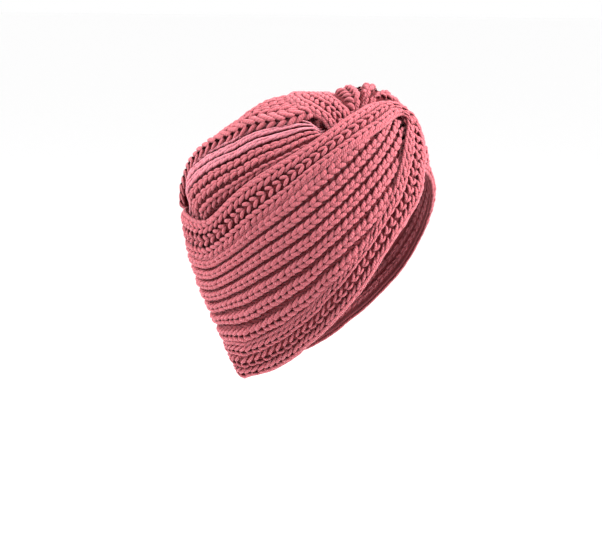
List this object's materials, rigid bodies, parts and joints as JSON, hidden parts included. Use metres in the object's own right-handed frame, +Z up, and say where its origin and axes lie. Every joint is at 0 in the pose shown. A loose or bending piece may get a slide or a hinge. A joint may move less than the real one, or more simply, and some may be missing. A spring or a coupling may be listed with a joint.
{
  "type": "knitted turban hat",
  "caption": "Close-fitting chunky ribbed knit turban hat with wide overlapping rib bands that gather into a twist at the front.",
  "frame": {"origin": "inside of the crown at its top, where the head meets the hat", "axes": "+Z up as worn, the wearer looks toward -Y, the wearer's right hand is toward -X"},
  "size_m": [0.184, 0.2456, 0.2802],
  "materials": {
    "wrap_knit": "dusty pink wool-like rib knit, matt",
    "band_knit": "dusty pink wool-like rib knit, matt",
    "crown_right_knit": "dusty pink wool-like fine rib knit, matt",
    "crown_left_knit": "dusty pink wool-like fine rib knit, matt"
  },
  "bodies": {
    "root": {"wrap_panel": "wrap_knit", "twist_band": "band_knit", "crown_panel_right": "crown_right_knit", "crown_panel_left": "crown_left_knit"}
  },
  "joints": []
}
